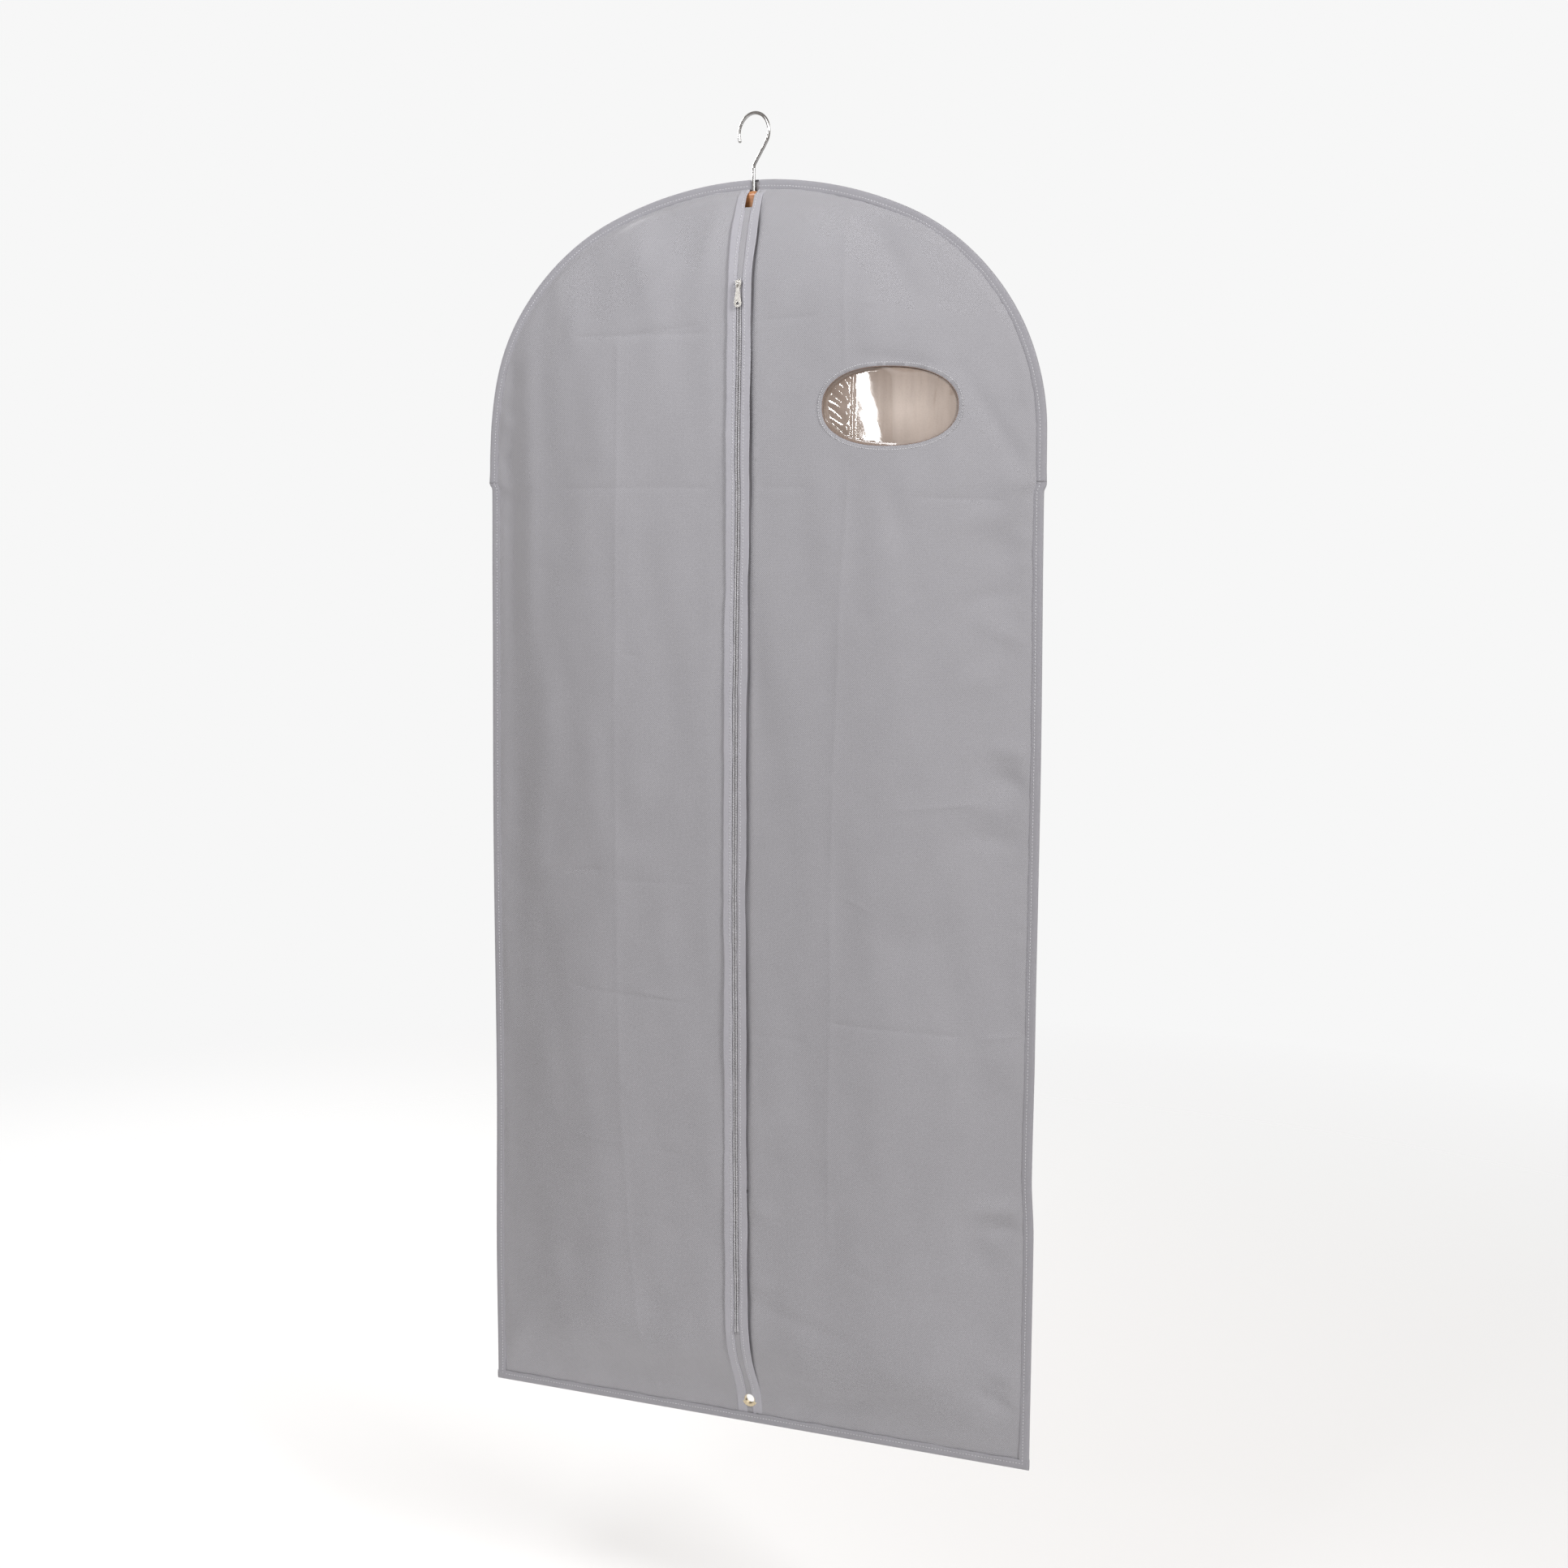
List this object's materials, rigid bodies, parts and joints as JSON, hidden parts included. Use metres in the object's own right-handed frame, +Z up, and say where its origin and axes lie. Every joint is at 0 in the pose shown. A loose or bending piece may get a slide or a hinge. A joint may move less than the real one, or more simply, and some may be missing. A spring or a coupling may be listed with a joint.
{
  "type": "garment bag",
  "caption": "Long hanging garment bag of grey non-woven cloth with an arched top, bound edges, a centre zip, an oval clear window and a carrying eyelet, shown on a wooden hanger.",
  "frame": {"origin": "where the hook's inner crown rests on the rail", "axes": "+Z up along the hook's stem, -Y out of the front with the zip, +X to the right as the front is looked at"},
  "size_m": [0.63, 0.0794, 1.42],
  "materials": {
    "cloth": "embossed non-woven, matt",
    "binding": "folded non-woven tape, matt",
    "thread": "spun thread",
    "film": "clear film, slightly crumpled",
    "tape": "woven tape",
    "coil": "moulded coil",
    "nickel": "nickel plated, satin",
    "eyelet_metal": "pale plated, satin",
    "hook_metal": "plated wire",
    "wood": "lacquered"
  },
  "bodies": {
    "hook": {"hanger_hook": "hook_metal"},
    "bag": {"back_panel": "cloth", "front_panel_left": "cloth", "front_panel_right": "cloth", "placket_top": "cloth", "placket_bottom": "cloth", "window_film": "film", "window_thread": "thread", "binding_top": "binding", "binding_side_left": "binding", "binding_side_right": "binding", "binding_bottom": "binding", "binding_thread_front": "thread", "binding_thread_back": "thread", "zip_facing_left": "cloth", "zip_facing_right": "cloth", "facing_thread_left": "thread", "facing_thread_right": "thread", "zip_tape_left": "tape", "zip_tape_right": "tape", "zip_coil_left": "coil", "zip_coil_right": "coil", "eyelet": "eyelet_metal", "eyelet_washer": "eyelet_metal", "hanger_body": "wood"},
    "slider": {"slider_body": "nickel", "slider_bridge": "nickel"},
    "pull": {"pull_tab": "nickel"}
  },
  "joints": [
    {"name": "hook_swivel", "type": "hinge", "parent": "hook", "child": "bag", "pos_m": [0, 0, -0.0665], "axis": [0, 0, 1], "continuous": true},
    {"name": "slider_travel", "type": "slide", "parent": "bag", "child": "slider", "axis": [0, 0, -1], "range_m": [0, 1.112]},
    {"name": "pull_flip", "type": "hinge", "parent": "slider", "child": "pull", "pos_m": [0, -0.0438, -0.1795], "axis": [-1, 0, 0], "range_deg": [0, 170]}
  ]
}
